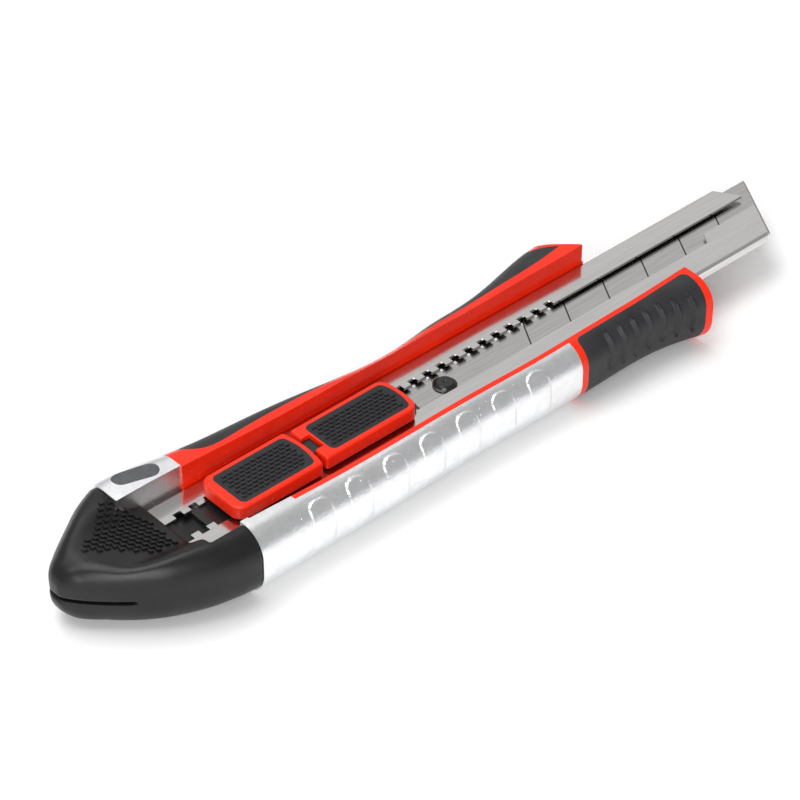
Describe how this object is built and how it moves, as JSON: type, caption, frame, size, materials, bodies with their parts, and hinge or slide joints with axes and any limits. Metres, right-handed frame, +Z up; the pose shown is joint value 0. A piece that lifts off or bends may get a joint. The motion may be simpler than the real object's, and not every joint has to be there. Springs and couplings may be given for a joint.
{
  "type": "snap off knife",
  "caption": "Snap off utility knife with a cast metal body, soft grips, a steel blade channel, a two-part locking slider and a pull-off end cap.",
  "frame": {"origin": "on the flat belly that the knife lies on, the place of the belly mount", "axes": "+X along the knife to the blade's tip, +Y to the cutting-edge side, +Z up from the belly to the sliders"},
  "size_m": [0.2022, 0.0414, 0.0176],
  "materials": {
    "zinc": "bright die-cast zinc, fine cast sparkle",
    "red_plastic": "glossy red ABS",
    "soft_grip": "satin moulded soft grip",
    "channel_steel": "brushed stainless sheet",
    "screw_steel": "bright plated",
    "spring_steel": "polished spring strip",
    "black_cap": "satin black ABS",
    "blade_steel": "ground carbon steel",
    "black_plastic": "semi-gloss black acetal",
    "pad_rubber": "matt textured rubber"
  },
  "bodies": {
    "body": {"body_casting": "zinc", "inner_frame": "red_plastic", "far_grip": "soft_grip", "near_grip": "soft_grip", "blade_channel": "channel_steel", "frame_screws": "screw_steel"},
    "cap": {"end_cap": "black_cap"},
    "blade_carriage": {"blade": "blade_steel", "blade_holder": "channel_steel", "blade_pin": "black_plastic", "front_slide": "black_plastic", "holder_rivets": "screw_steel", "front_catch_spring": "spring_steel"},
    "front_press_cap": {"front_button": "red_plastic", "front_button_pad": "pad_rubber"},
    "lock_carriage": {"rear_slide": "black_plastic", "rear_catch_spring": "spring_steel"},
    "rear_press_cap": {"rear_button": "red_plastic", "rear_button_pad": "pad_rubber", "link_latch": "black_plastic"}
  },
  "joints": [
    {"name": "blade_slide", "type": "slide", "parent": "body", "child": "blade_carriage", "axis": [1, 0, 0], "range_m": [0, 0.06]},
    {"name": "front_press", "type": "slide", "parent": "blade_carriage", "child": "front_press_cap", "axis": [0, 0, -1], "range_m": [0, 0.0008], "stiffness_N_per_m": 1500, "springref_m": -0.0006, "deforming": ["front_catch_spring"]},
    {"name": "lock_slide", "type": "slide", "parent": "blade_carriage", "child": "lock_carriage", "axis": [1, 0, 0], "range_m": [-0.004, 0]},
    {"name": "rear_press", "type": "slide", "parent": "lock_carriage", "child": "rear_press_cap", "axis": [0, 0, -1], "range_m": [0, 0.0008], "stiffness_N_per_m": 1500, "springref_m": -0.0006, "deforming": ["rear_catch_spring"]},
    {"name": "cap_slide", "type": "slide", "parent": "body", "child": "cap", "axis": [-1, 0, 0], "range_m": [0, 0.04]}
  ]
}
